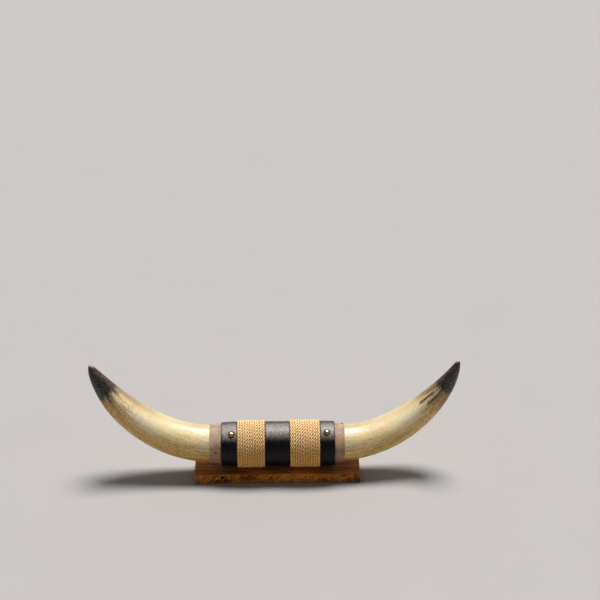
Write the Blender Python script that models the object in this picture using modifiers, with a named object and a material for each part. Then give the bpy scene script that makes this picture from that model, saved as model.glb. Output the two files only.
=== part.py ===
"""Mounted steer horns: two short horns on a leather and rope covered roller, on a wooden board.

Metres, +Z up. The origin is on the board's underside, below the middle of the roller, +X is the
right horn's side and -Y is the front.
"""
from math import cos, pi, radians, sin

import bmesh
import bpy
from mathutils import Matrix, Vector

MM = 0.001
GAP = 0.3 * MM  # clearance between solids that touch on the real thing

# The board
BOARD_LENGTH = 275 * MM
BOARD_DEPTH = 66 * MM
BOARD_THICKNESS = 17 * MM
BOARD_SHIFT = -1.3 * MM  # the board's middle lies this far from the roller's, along X
BOARD_EDGE = 0.8 * MM

# The turned roller that carries everything, with a tapered tenon at each end
CORE_HALF_LENGTH = 94 * MM
CORE_RADIUS = 34.2 * MM
TENON_LENGTH = 38 * MM
TENON_ROOT_RADIUS = 20 * MM
TENON_TIP_RADIUS = 16 * MM
CORE_SIDES = 36
SOCKET_SIDES = 24

# The leather strips wound on the roller, by their ends along X
LEATHER_THICKNESS = 2.9 * MM
LEATHER_BANDS = {
    "left_leather_band": (-94 * MM, -67.9 * MM),
    "centre_leather_band": (-21.2 * MM, 19.6 * MM),
    "right_leather_band": (70.0 * MM, 94 * MM),
}
STRIP_STEPS = 34
SEAM_WIDTH = 0.8 * MM
SEAM_ANGLE = radians(222)  # from straight up, over the front: low at the back

# The rope wound between the strips
ROPE_DIAMETER = 4.1 * MM
ROPE_PATH_RADIUS = 37.55 * MM
ROPE_POINTS_PER_TURN = 14
ROPE_ROUNDNESS = 2  # bevel resolution, which gives 8 sides
ROPE_WRAPS = {
    "left_rope_wrap": {"start": radians(200), "end": radians(146 + 10 * 360)},
    "right_rope_wrap": {"start": radians(200), "end": radians(200 + 11 * 360)},
}

# The horns: the centreline leaves the roller straight, then climbs with a growing angle.
# Share s of the length gives the climb angle climb * s ** climb_power + hook * s ** 6, and
# the radius falls from butt to tip as (1 - s ** a) ** b, with taper = (a, b). Past its straight
# start the horn also leans towards the back: the tip by lean, and its middle by bow more.
HORN_STRAIGHT = 18 * MM
HORN_RISE = 1.6 * MM  # the horns and collars sit this much above the roller's axis
HORN_RINGS = 19
HORN_FINE_STEPS = 20  # steps between two rings when the centreline is worked out
HORN_ROUNDNESS = 7  # bevel resolution, which gives 18 sides
HORN_SHARP_ANGLE = radians(50)
TIP_RINGS = ((0.45, 0.80), (0.68, 0.45))  # distance ahead and radius, as shares of the tip's radius
HOOK_POWER = 6
LEAN_POWER = 1.3
HORNS = {
    "left": {"side": -1, "length": 269.1 * MM, "climb": radians(65.9), "climb_power": 0.878,
             "hook": radians(-1.2), "butt": 31.1 * MM, "tip": 3.4 * MM, "taper": (2.69, 0.74),
             "lean": 17.7 * MM, "bow": 0.0},
    "right": {"side": 1, "length": 266.5 * MM, "climb": radians(72.9), "climb_power": 0.948,
              "hook": 0.0, "butt": 30.1 * MM, "tip": 3.9 * MM, "taper": (2.47, 0.87),
              "lean": 12 * MM, "bow": 13 * MM},
}

# The leather collars round the horns' butts
COLLARS = {
    "left": {"width": 18.6 * MM, "thickness": 1.5 * MM},
    "right": {"width": 16.2 * MM, "thickness": 2.1 * MM},
}

# Domed tacks in the end strips, small nails in the collars
TACK = {"head": (4.6 * MM, 2.8 * MM), "shank": (1.0 * MM, 12 * MM), "dome_steps": 3, "sides": 12}
NAIL = {"head": (1.5 * MM, 0.6 * MM), "shank": (0.7 * MM, 9 * MM), "dome_steps": 2, "sides": 8}
RIM_SHARE = 0.2  # the straight part of a head's height
CUTTER_STAND = 1.5 * MM  # how far a hole's cutter stands out of the surface

# Each fastener's place along X and its height angle, 0 level at the front, 90 straight up
TACKS = {
    "front_left_tack": (-77.0 * MM, radians(54)),
    "front_right_tack": (80.7 * MM, radians(58)),
    "back_left_tack": (-81.5 * MM, radians(196)),
    "back_right_tack": (83.0 * MM, radians(196)),
}
NAILS = {
    "left": (-102.6 * MM, radians(0)),
    "right": (107.0 * MM, radians(100)),
}

# Countersunk wood screws through the board into the roller
SCREW_PLACES = {"left_base_screw": -85 * MM, "right_base_screw": 85 * MM}
SCREW_SHANK_RADIUS = 2.0 * MM
SCREW_HEAD_RADIUS = 4.0 * MM
SCREW_HEAD_HEIGHT = 2.6 * MM
SCREW_RECESS = 0.6 * MM
SCREW_REACH = 19 * MM  # into the roller
SCREW_POINT = 4 * MM
SCREW_SIDES = 16

# Worked out from the values above
ROPE_OUTER_RADIUS = ROPE_PATH_RADIUS + ROPE_DIAMETER / 2
LEATHER_INNER_RADIUS = CORE_RADIUS + GAP
LEATHER_OUTER_RADIUS = LEATHER_INNER_RADIUS + LEATHER_THICKNESS
AXIS_HEIGHT = BOARD_THICKNESS + GAP + ROPE_OUTER_RADIUS
HORN_AXIS_HEIGHT = AXIS_HEIGHT + HORN_RISE
BUTT_X = CORE_HALF_LENGTH + GAP  # where each horn's butt face meets the roller's shoulder
TENON_TIP_X = CORE_HALF_LENGTH + TENON_LENGTH
MERGE = 0.01 * MM


def clear_scene():
    for item in list(bpy.data.objects):
        bpy.data.objects.remove(item, do_unlink=True)


def new_collection(name):
    collection = bpy.data.collections.new(name)
    bpy.context.scene.collection.children.link(collection)
    return collection


def make_material(name, color, roughness, metallic=0.0):
    material = bpy.data.materials.new(name)
    material.use_nodes = True
    shader = material.node_tree.nodes["Principled BSDF"]
    shader.inputs["Base Color"].default_value = (*color, 1.0)
    shader.inputs["Roughness"].default_value = roughness
    shader.inputs["Metallic"].default_value = metallic
    return material


def add_object(name, data, collection, material=None):
    item = bpy.data.objects.new(name, data)
    collection.objects.link(item)
    if material:
        data.materials.append(material)
    return item


def turned_object(name, profile, collection, steps, material=None):
    """A solid turned about its own Z from a profile of (radius, height) that runs top to bottom."""
    mesh = bpy.data.meshes.new(name)
    vertices = [(radius, 0.0, height) for radius, height in profile]
    edges = [(i, i + 1) for i in range(len(profile) - 1)]
    mesh.from_pydata(vertices, edges, [])
    item = add_object(name, mesh, collection, material)
    screw = item.modifiers.new("turn", "SCREW")
    screw.axis = "Z"
    screw.angle = 2 * pi
    screw.steps = steps
    screw.render_steps = steps
    screw.use_merge_vertices = True
    screw.merge_threshold = MERGE
    screw.use_smooth_shade = False
    return item


def make_cutter(item):
    item.hide_render = True
    item.display_type = "WIRE"
    return item


def cut(item, cutter):
    boolean = item.modifiers.new("cut " + cutter.name, "BOOLEAN")
    boolean.operation = "DIFFERENCE"
    boolean.solver = "EXACT"
    boolean.object = cutter


def mesh_from_curve(name, curve_object, collection):
    """The curve's solid as a mesh object with its caps welded; the curve is removed."""
    depsgraph = bpy.context.evaluated_depsgraph_get()
    mesh = bpy.data.meshes.new_from_object(curve_object.evaluated_get(depsgraph))
    bm = bmesh.new()
    bm.from_mesh(mesh)
    bmesh.ops.remove_doubles(bm, verts=bm.verts, dist=MERGE)
    bm.to_mesh(mesh)
    bm.free()
    item = bpy.data.objects.new(name, mesh)
    item.matrix_world = curve_object.matrix_world.copy()
    collection.objects.link(item)
    bpy.data.objects.remove(curve_object)
    return item


def horn_path(horn):
    """Points along a horn's centreline with the radius at each."""
    length = horn["length"]
    side = horn["side"]
    power, blunt = horn["taper"]
    steps = HORN_RINGS * HORN_FINE_STEPS
    step = length / steps
    x = BUTT_X
    z = HORN_AXIS_HEIGHT
    path = []
    for i in range(steps + 1):
        share = i / steps
        climbed = max(0.0, share * length - HORN_STRAIGHT) / (length - HORN_STRAIGHT)
        angle = horn["climb"] * climbed ** horn["climb_power"] + horn["hook"] * climbed ** HOOK_POWER
        if i % HORN_FINE_STEPS == 0:
            radius = horn["tip"] + (horn["butt"] - horn["tip"]) * (1 - share ** power) ** blunt
            leaned = climbed ** LEAN_POWER
            y = horn["lean"] * leaned + horn["bow"] * sin(pi * leaned)
            path.append((Vector((side * x, y, z)), radius))
        x += cos(angle) * step
        z += sin(angle) * step
    return path


def round_tip(path):
    """Closes the path with two smaller rings, so that the horn ends in a blunt rounded tip."""
    end, radius = path[-1]
    ahead = (end - path[-2][0]).normalized()
    for distance_share, radius_share in TIP_RINGS:
        path.append((end + ahead * radius * distance_share, radius * radius_share))
    return path


def make_horn(name, horn, collection, material):
    curve = bpy.data.curves.new(name, "CURVE")
    curve.dimensions = "3D"
    curve.bevel_depth = 1.0
    curve.bevel_resolution = HORN_ROUNDNESS
    curve.use_fill_caps = True
    path = round_tip(horn_path(horn))
    spline = curve.splines.new("POLY")
    spline.points.add(len(path) - 1)
    for point, (place, radius) in zip(spline.points, path):
        point.co = (*place, 1.0)
        point.radius = radius
    rough = bpy.data.objects.new(name + " curve", curve)
    collection.objects.link(rough)
    bpy.context.view_layer.update()
    item = mesh_from_curve(name, rough, collection)
    item.data.materials.clear()
    item.data.materials.append(material)
    item.data.shade_smooth()
    item.data.set_sharp_from_angle(angle=HORN_SHARP_ANGLE)
    return item


def make_socket_cutter(name, side, cutters):
    """The tapered hollow in a horn's butt, one gap larger than the tenon all round."""
    depth = TENON_LENGTH + 4 * GAP
    start = CORE_HALF_LENGTH - 2 * GAP
    slope = (TENON_ROOT_RADIUS - TENON_TIP_RADIUS) / TENON_LENGTH
    wide = TENON_ROOT_RADIUS + GAP + 2 * GAP * slope
    narrow = wide - depth * slope
    mesh = bpy.data.meshes.new(name)
    bm = bmesh.new()
    bmesh.ops.create_cone(bm, cap_ends=True, segments=SOCKET_SIDES,
                          radius1=wide, radius2=narrow, depth=depth)
    bm.to_mesh(mesh)
    bm.free()
    cutter = add_object(name, mesh, cutters)
    cutter.location = (side * (start + depth / 2), 0, AXIS_HEIGHT)
    cutter.rotation_euler = (0, side * pi / 2, 0)
    return make_cutter(cutter)


def make_core(collection, material):
    shoulder = CORE_HALF_LENGTH
    tip = TENON_TIP_X
    profile = [
        (0, tip),
        (TENON_TIP_RADIUS, tip),
        (TENON_ROOT_RADIUS, shoulder),
        (CORE_RADIUS, shoulder),
        (CORE_RADIUS, -shoulder),
        (TENON_ROOT_RADIUS, -shoulder),
        (TENON_TIP_RADIUS, -tip),
        (0, -tip),
    ]
    core = turned_object("roller_core", profile, collection, CORE_SIDES, material)
    core.location = (0, 0, AXIS_HEIGHT)
    core.rotation_euler = (0, pi / 2, 0)
    return core


def make_strip(name, ends, inner_radius, thickness, axis_height, collection, material):
    """A leather strip bent round an axis along X, with a butt seam low at the back."""
    low_x, high_x = sorted(ends)
    mesh = bpy.data.meshes.new(name)
    mesh.from_pydata([(low_x, 0, inner_radius), (high_x, 0, inner_radius)], [(0, 1)], [])
    strip = add_object(name, mesh, collection, material)
    half_seam = SEAM_WIDTH / inner_radius / 2
    strip.location = (0, 0, axis_height)
    strip.rotation_euler = (SEAM_ANGLE + half_seam, 0, 0)
    screw = strip.modifiers.new("bend", "SCREW")
    screw.axis = "X"
    screw.angle = 2 * pi - 2 * half_seam
    screw.steps = STRIP_STEPS
    screw.render_steps = STRIP_STEPS
    screw.use_merge_vertices = False
    screw.use_smooth_shade = False
    shell = strip.modifiers.new("leather", "SOLIDIFY")
    shell.thickness = thickness
    shell.offset = -1.0
    shell.use_even_offset = True
    return strip


def make_rope(name, wrap, low_x, high_x, collection, material):
    """Rope wound as a helix between two strips: down the front, each turn further along +X."""
    first = low_x + GAP + ROPE_DIAMETER / 2
    last = high_x - GAP - ROPE_DIAMETER / 2
    turned = wrap["end"] - wrap["start"]
    count = round(turned / (2 * pi) * ROPE_POINTS_PER_TURN)
    curve = bpy.data.curves.new(name, "CURVE")
    curve.dimensions = "3D"
    curve.bevel_depth = ROPE_DIAMETER / 2
    curve.bevel_resolution = ROPE_ROUNDNESS
    curve.use_fill_caps = True
    spline = curve.splines.new("POLY")
    spline.points.add(count)
    for i, point in enumerate(spline.points):
        share = i / count
        angle = wrap["start"] + turned * share
        x = first + (last - first) * share
        y = -ROPE_PATH_RADIUS * sin(angle)
        z = AXIS_HEIGHT + ROPE_PATH_RADIUS * cos(angle)
        point.co = (x, y, z, 1.0)
    return add_object(name, curve, collection, material)


def radial_place(x, height_angle, radius, axis_height):
    """A frame whose origin lies at a radius from an axis along X and whose +Z points outwards."""
    turn = Matrix.Rotation(pi / 2 - height_angle, 4, "X")
    outwards = turn @ Vector((0, 0, 1))
    return Matrix.Translation(Vector((x, 0, axis_height)) + outwards * radius) @ turn


def make_pin(name, place, pin, collection, material):
    """A round-headed tack or nail: a domed head with a short straight rim over a pointed shank."""
    head_radius, head_height = pin["head"]
    shank_radius, shank_length = pin["shank"]
    profile = []
    for i in range(pin["dome_steps"] + 1):
        angle = pi / 2 * i / pin["dome_steps"]
        height = head_height * (RIM_SHARE + (1 - RIM_SHARE) * cos(angle))
        profile.append((head_radius * sin(angle), height))
    profile.append((head_radius, 0))
    profile.append((shank_radius, 0))
    profile.append((shank_radius, 2 * shank_radius - shank_length))
    profile.append((0, -shank_length))
    item = turned_object(name, profile, collection, pin["sides"], material)
    item.matrix_world = place
    return item


def make_pin_cutter(name, place, pin, cutters):
    shank_radius, shank_length = pin["shank"]
    radius = shank_radius + GAP
    top = CUTTER_STAND
    bottom = -shank_length - GAP
    profile = [(0, top), (radius, top), (radius, bottom), (0, bottom)]
    cutter = turned_object(name, profile, cutters, pin["sides"])
    cutter.matrix_world = place
    return make_cutter(cutter)


def screw_profile(spare):
    """A countersunk screw with its point up, made larger by spare all round."""
    top = AXIS_HEIGHT - CORE_RADIUS + SCREW_REACH + spare
    bottom = SCREW_RECESS
    if spare > 0:
        bottom = -GAP
    shank = SCREW_SHANK_RADIUS + spare
    head = SCREW_HEAD_RADIUS + spare
    head_start = SCREW_RECESS + SCREW_HEAD_HEIGHT + spare
    return [
        (0, top),
        (shank, top - SCREW_POINT),
        (shank, head_start),
        (head, SCREW_RECESS + spare),
        (head, bottom),
        (0, bottom),
    ]


def make_screw_cutter(name, x, cutters):
    cutter = turned_object(name, screw_profile(GAP), cutters, SCREW_SIDES)
    cutter.location = (x, 0, 0)
    return make_cutter(cutter)


def make_board(collection, material):
    mesh = bpy.data.meshes.new("base_board")
    bm = bmesh.new()
    bmesh.ops.create_cube(bm, size=1.0)
    size = (BOARD_LENGTH, BOARD_DEPTH, BOARD_THICKNESS)
    bmesh.ops.scale(bm, vec=size, verts=bm.verts)
    bm.to_mesh(mesh)
    bm.free()
    board = add_object("base_board", mesh, collection, material)
    board.location = (BOARD_SHIFT, 0, BOARD_THICKNESS / 2)
    bevel = board.modifiers.new("eased edges", "BEVEL")
    bevel.width = BOARD_EDGE
    bevel.segments = 1
    return board


def main():
    clear_scene()
    parts = new_collection("mounted steer horns")
    cutters = new_collection("cutters")

    horn_material = make_material("horn", (0.74, 0.60, 0.38), 0.35)
    collar_material = make_material("collar leather", (0.37, 0.22, 0.17), 0.85)
    leather_material = make_material("black leather", (0.012, 0.012, 0.012), 0.38)
    rope_material = make_material("rope", (0.62, 0.40, 0.16), 0.9)
    core_material = make_material("roller wood", (0.50, 0.33, 0.18), 0.7)
    board_material = make_material("board wood", (0.20, 0.07, 0.02), 0.5)
    brass_material = make_material("brass", (0.75, 0.55, 0.25), 0.25, 1.0)
    iron_material = make_material("dark iron", (0.05, 0.045, 0.04), 0.6, 1.0)
    steel_material = make_material("screw steel", (0.45, 0.43, 0.40), 0.4, 1.0)

    board = make_board(parts, board_material)
    core = make_core(parts, core_material)

    bands = {}
    for name, ends in LEATHER_BANDS.items():
        bands[name] = make_strip(name, ends, LEATHER_INNER_RADIUS, LEATHER_THICKNESS, AXIS_HEIGHT,
                                 parts, leather_material)

    left_space = (LEATHER_BANDS["left_leather_band"][1], LEATHER_BANDS["centre_leather_band"][0])
    right_space = (LEATHER_BANDS["centre_leather_band"][1], LEATHER_BANDS["right_leather_band"][0])
    for name, (low_x, high_x) in (("left_rope_wrap", left_space), ("right_rope_wrap", right_space)):
        make_rope(name, ROPE_WRAPS[name], low_x, high_x, parts, rope_material)

    for word, horn in HORNS.items():
        side = horn["side"]
        item = make_horn(word + "_horn", horn, parts, horn_material)
        cut(item, make_socket_cutter(word + " socket", side, cutters))
        width = COLLARS[word]["width"]
        thickness = COLLARS[word]["thickness"]
        ends = (side * BUTT_X, side * (BUTT_X + width))
        collar = make_strip(word + "_collar", ends, horn["butt"] + GAP, thickness, HORN_AXIS_HEIGHT,
                            parts, collar_material)
        x, height_angle = NAILS[word]
        radius = horn["butt"] + thickness + 2 * GAP
        place = radial_place(x, height_angle, radius, HORN_AXIS_HEIGHT)
        make_pin(word + "_collar_nail", place, NAIL, parts, iron_material)
        hole = make_pin_cutter(word + " nail hole", place, NAIL, cutters)
        cut(collar, hole)
        cut(item, hole)

    for name, (x, height_angle) in TACKS.items():
        place = radial_place(x, height_angle, LEATHER_OUTER_RADIUS + GAP, AXIS_HEIGHT)
        make_pin(name, place, TACK, parts, brass_material)
        hole = make_pin_cutter(name + " hole", place, TACK, cutters)
        band = bands["left_leather_band" if x < 0 else "right_leather_band"]
        cut(band, hole)
        cut(core, hole)

    for name, x in SCREW_PLACES.items():
        screw = turned_object(name, screw_profile(0), parts, SCREW_SIDES, steel_material)
        screw.location = (x, 0, 0)
        hole = make_screw_cutter(name + " hole", x, cutters)
        band = bands["left_leather_band" if x < 0 else "right_leather_band"]
        for item in (board, band, core):
            cut(item, hole)


main()
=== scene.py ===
from math import atan2, cos, pi, radians, sin

import bmesh
import bpy
from mathutils import Matrix, Vector, kdtree, noise


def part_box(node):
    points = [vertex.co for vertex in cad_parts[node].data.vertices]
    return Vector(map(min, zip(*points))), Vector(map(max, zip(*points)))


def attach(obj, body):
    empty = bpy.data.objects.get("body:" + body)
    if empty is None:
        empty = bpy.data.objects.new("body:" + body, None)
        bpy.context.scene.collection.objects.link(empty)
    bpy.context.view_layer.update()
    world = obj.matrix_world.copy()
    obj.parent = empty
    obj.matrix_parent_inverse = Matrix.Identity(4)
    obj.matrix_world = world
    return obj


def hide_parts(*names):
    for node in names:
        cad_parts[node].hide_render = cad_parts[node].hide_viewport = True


# A pair of short steer horns on a leather and rope covered roller, on a small wooden board.
# Metres, +Z up, +X towards the right horn, -Y towards the front.

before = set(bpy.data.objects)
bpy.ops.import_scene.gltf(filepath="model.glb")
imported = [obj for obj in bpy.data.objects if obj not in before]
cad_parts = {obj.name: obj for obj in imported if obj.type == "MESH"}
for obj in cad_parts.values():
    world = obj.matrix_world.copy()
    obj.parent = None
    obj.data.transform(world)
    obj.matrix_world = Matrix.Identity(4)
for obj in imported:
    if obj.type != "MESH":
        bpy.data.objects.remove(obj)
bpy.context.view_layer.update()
mm = 0.001
coreLow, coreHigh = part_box("roller_core")
axisHeight = (coreLow.z + coreHigh.z) / 2
print("frame loaded:", len(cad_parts), "nodes")


# Camera, light and floor

photoView = {
    "place": (-0.0014, -2.7791, 1.6614),
    "aim": (0.0372, 0.0, 0.3220),
    "roll": radians(-0.12),
    "lens": 115.2,
    "farthest": 80,
}


def setCamera():
    bpy.ops.object.camera_add(location=photoView["place"])
    camera = bpy.context.object
    camera.name = "photoCamera"
    ahead = Vector(photoView["aim"]) - Vector(photoView["place"])
    turn = ahead.to_track_quat("-Z", "Y").to_matrix() @ Matrix.Rotation(photoView["roll"], 3, "Z")
    camera.rotation_euler = turn.to_euler()
    camera.data.lens = photoView["lens"]
    camera.data.clip_end = photoView["farthest"]
    bpy.context.scene.camera = camera
    bpy.context.scene.view_settings.view_transform = "Standard"


studio = {
    "lampDirection": (0.13, 0.285, 1.0),  # overhead, a little behind and to the right
    "lampInside": radians(8.5),  # full strength up to here, then falling
    "lampOutside": radians(13.0),
    "lampStrength": 39.0,
    "fillStrength": 0.155,
    "backGlow": 0.42,  # the bright wall behind, seen in glossy surfaces
    "backRange": (0.35, 0.95),  # where it starts and is full, from 0 overhead to 1 level behind
    "lampColor": (1.0, 0.985, 0.965, 1.0),
    "fillColor": (0.88, 0.95, 1.0, 1.0),
    "floorSize": 90,
    "floorColor": (170, 165, 163),
    "floorShade": 0.965,  # the floor's darker patches, as a share of its colour
    "floorCloud": 6.0,
}


def paint(red, green, blue):  # a colour picked on a screen, 0 to 255, as linear light
    def linear(value):
        value = value / 255
        return value / 12.92 if value <= 0.04045 else ((value + 0.055) / 1.055) ** 2.4
    return (linear(red), linear(green), linear(blue), 1.0)


class Wire:  # a node's output that takes part in sums
    def __init__(self, finish, socket):
        self.finish = finish
        self.socket = socket

    def combine(self, operation, first, second):
        return self.finish.node("ShaderNodeMath", {"operation": operation}, {0: first, 1: second})

    def __add__(self, other):
        return self.combine("ADD", self, other)

    def __radd__(self, other):
        return self.combine("ADD", other, self)

    def __sub__(self, other):
        return self.combine("SUBTRACT", self, other)

    def __rsub__(self, other):
        return self.combine("SUBTRACT", other, self)

    def __mul__(self, other):
        return self.combine("MULTIPLY", self, other)

    def __rmul__(self, other):
        return self.combine("MULTIPLY", other, self)

    def __truediv__(self, other):
        return self.combine("DIVIDE", self, other)

    def __rtruediv__(self, other):
        return self.combine("DIVIDE", other, self)

    def __pow__(self, other):
        return self.combine("POWER", self, other)


class Finish:  # one material, or the world, with its nodes
    def __init__(self, name, owner=None):
        self.block = owner or bpy.data.materials.new(name)
        self.block.use_nodes = True
        self.tree = self.block.node_tree
        self.shader = self.tree.nodes.get("Principled BSDF")

    def node(self, kind, settings=None, sockets=None, out=0):
        made = self.tree.nodes.new(kind)
        for key, value in (settings or {}).items():
            if key == "stops":
                ramp = made.color_ramp
                while len(ramp.elements) < len(value):
                    ramp.elements.new(1.0)
                for stop, (position, color) in zip(ramp.elements, value):
                    stop.position = position
                    stop.color = color
            else:
                setattr(made, key, value)
        for key, value in (sockets or {}).items():
            self.plug(made.inputs[key], value)
        return Wire(self, made.outputs[out])

    def plug(self, socket, value):
        if isinstance(value, Wire):
            self.tree.links.new(value.socket, socket)
        else:
            socket.default_value = value

    def set(self, **values):  # plugs the shader's own sockets: base_color -> Base Color
        for key, value in values.items():
            self.plug(self.shader.inputs[key.replace("_", " ").title()], value)

    def objectPlace(self):
        return self.node("ShaderNodeTexCoord", out="Object")

    def attribute(self, name):
        return self.node("ShaderNodeAttribute", {"attribute_name": name}, out="Vector")

    def number(self, name):
        return self.node("ShaderNodeAttribute", {"attribute_name": name}, out="Fac")

    def parts(self, vector):
        split = self.node("ShaderNodeSeparateXYZ", sockets={0: vector}).socket.node
        return [Wire(self, output) for output in split.outputs]

    def stretch(self, vector, scale, turn=(0, 0, 0), shift=(0, 0, 0)):
        return self.node("ShaderNodeMapping", sockets={
            "Vector": vector, "Location": shift, "Rotation": turn, "Scale": scale})

    def grain(self, vector, scale=1.0, detail=4.0, rough=0.5, distort=0.0):
        return self.node("ShaderNodeTexNoise", sockets={
            "Vector": vector, "Scale": scale, "Detail": detail, "Roughness": rough,
            "Distortion": distort})

    def cells(self, vector, scale):
        return self.node("ShaderNodeTexVoronoi", {"feature": "F1"}, {"Vector": vector, "Scale": scale})

    def fade(self, value, start, end, low=0.0, high=1.0):  # eased from low at start to high at end
        return self.node("ShaderNodeMapRange", {"interpolation_type": "SMOOTHSTEP"}, {
            "Value": value, "From Min": start, "From Max": end, "To Min": low, "To Max": high})

    def band(self, value, middle, reach):  # 1 at the middle, 0 from the reach on
        away = self.node("ShaderNodeMath", {"operation": "ABSOLUTE"}, {0: value - middle})
        return self.fade(away, reach, 0.3 * reach)

    def greater(self, first, second):
        return self.node("ShaderNodeMath", {"operation": "MAXIMUM"}, {0: first, 1: second})

    def sine(self, value):
        return self.node("ShaderNodeMath", {"operation": "SINE"}, {0: value})

    def distance(self, *offsets):
        total = offsets[0] * offsets[0]
        for offset in offsets[1:]:
            total = total + offset * offset
        return total ** 0.5

    def tint(self, share, first, second, blend="MIX"):
        return self.node("ShaderNodeMix", {"data_type": "RGBA", "blend_type": blend}, {
            0: share, 6: first, 7: second}, out=2)

    def bump(self, height, distance, strength=1.0):
        return self.node("ShaderNodeBump", sockets={
            "Height": height, "Distance": distance, "Strength": strength})


def lightWorld():
    world = bpy.data.worlds.new("softStudio")
    bpy.context.scene.world = world
    sky = Finish("softStudio", world)
    toward = sky.node("ShaderNodeTexCoord", out="Generated")
    lamp = Vector(studio["lampDirection"]).normalized()
    facing = sky.node("ShaderNodeVectorMath", {"operation": "DOT_PRODUCT"},
                      {0: toward, 1: tuple(lamp)}, out="Value")
    glow = sky.fade(facing, cos(studio["lampOutside"]), cos(studio["lampInside"]))
    behind = sky.fade(sky.parts(toward)[1], *studio["backRange"])
    strength = glow * studio["lampStrength"] + behind * studio["backGlow"] + studio["fillStrength"]
    background = sky.tree.nodes["Background"]
    sky.plug(background.inputs["Color"], sky.tint(glow, studio["fillColor"], studio["lampColor"]))
    sky.plug(background.inputs["Strength"], strength)


def floorFinish():
    paper = Finish("paleFloor")
    cloudy = paper.grain(paper.objectPlace(), studio["floorCloud"], detail=3)
    color = paint(*studio["floorColor"])
    darker = tuple(studio["floorShade"] * value for value in color[:3]) + (1.0,)
    paper.set(base_color=paper.tint(cloudy, darker, color), roughness=0.9)
    return paper.block


def makeFloor():
    bpy.ops.mesh.primitive_plane_add(size=studio["floorSize"], location=(0, 0, 0))
    floor = bpy.context.object
    floor.name = "studioFloor"
    floor.data.materials.append(floorFinish())


setCamera()
lightWorld()
makeFloor()
print("camera, light and floor set")


# Shared modelling steps

def deselectAll():
    bpy.ops.object.select_all(action="DESELECT")


def selectOnly(piece):
    deselectAll()
    piece.select_set(True)
    bpy.context.view_layer.objects.active = piece


def pick(kind, test):  # in edit mode, selects the verts, edges or faces that pass the test
    mesh = bmesh.from_edit_mesh(bpy.context.object.data)
    modes = {"verts": "VERT", "edges": "EDGE", "faces": "FACE"}
    bpy.ops.mesh.select_all(action="DESELECT")
    bpy.ops.mesh.select_mode(type=modes[kind])
    for element in getattr(mesh, kind):
        if test(element):
            element.select_set(True)
    mesh.select_flush_mode()
    bmesh.update_edit_mesh(bpy.context.object.data)


def faceOutward():  # leaves edit mode with all faces turned outwards
    bpy.ops.mesh.select_all(action="SELECT")
    bpy.ops.mesh.normals_make_consistent(inside=False)
    bpy.ops.object.mode_set(mode="OBJECT")


def applyTransform():
    bpy.ops.object.transform_apply(location=True, rotation=True, scale=True)


def applyModifier(piece, kind, **settings):
    modifier = piece.modifiers.new(kind.title(), kind)
    for key, value in settings.items():
        setattr(modifier, key, value)
    bpy.context.view_layer.objects.active = piece
    bpy.ops.object.modifier_apply(modifier=modifier.name)


def cutAway(piece, tool):
    selectOnly(piece)
    applyModifier(piece, "BOOLEAN", operation="DIFFERENCE", object=tool)
    bpy.data.objects.remove(tool)


def finishPiece(piece, name, material, smoothAngle, node):  # at the origin and unturned
    applyTransform()
    piece.name = name
    piece.data.name = name
    piece.data.materials.clear()
    piece.data.materials.append(material)
    bpy.ops.object.shade_smooth_by_angle(angle=radians(smoothAngle))
    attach(piece, "root")
    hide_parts(node)
    print(name, len(piece.data.polygons), "faces")


def writeVectors(piece, name, values):
    layer = piece.data.attributes.new(name, "FLOAT_VECTOR", "POINT")
    layer.data.foreach_set("vector", [number for value in values for number in value])


def writeNumbers(piece, name, values):
    layer = piece.data.attributes.new(name, "FLOAT", "POINT")
    layer.data.foreach_set("value", values)


def ease(value, start, end):  # 0 before start, 1 past end, smooth between
    share = min(1.0, max(0.0, (value - start) / (end - start)))
    return share * share * (3 - 2 * share)


def hump(value, middle, width):  # 1 at the middle, 0 a width away
    return 1 - ease(abs(value - middle), 0, width)


def ripple(spot, scale, seed=0.0):  # smooth noise about -1 to 1
    return noise.noise(Vector(spot) * scale + Vector((seed, seed * 1.7, seed * 0.3)))


# The horns

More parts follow.
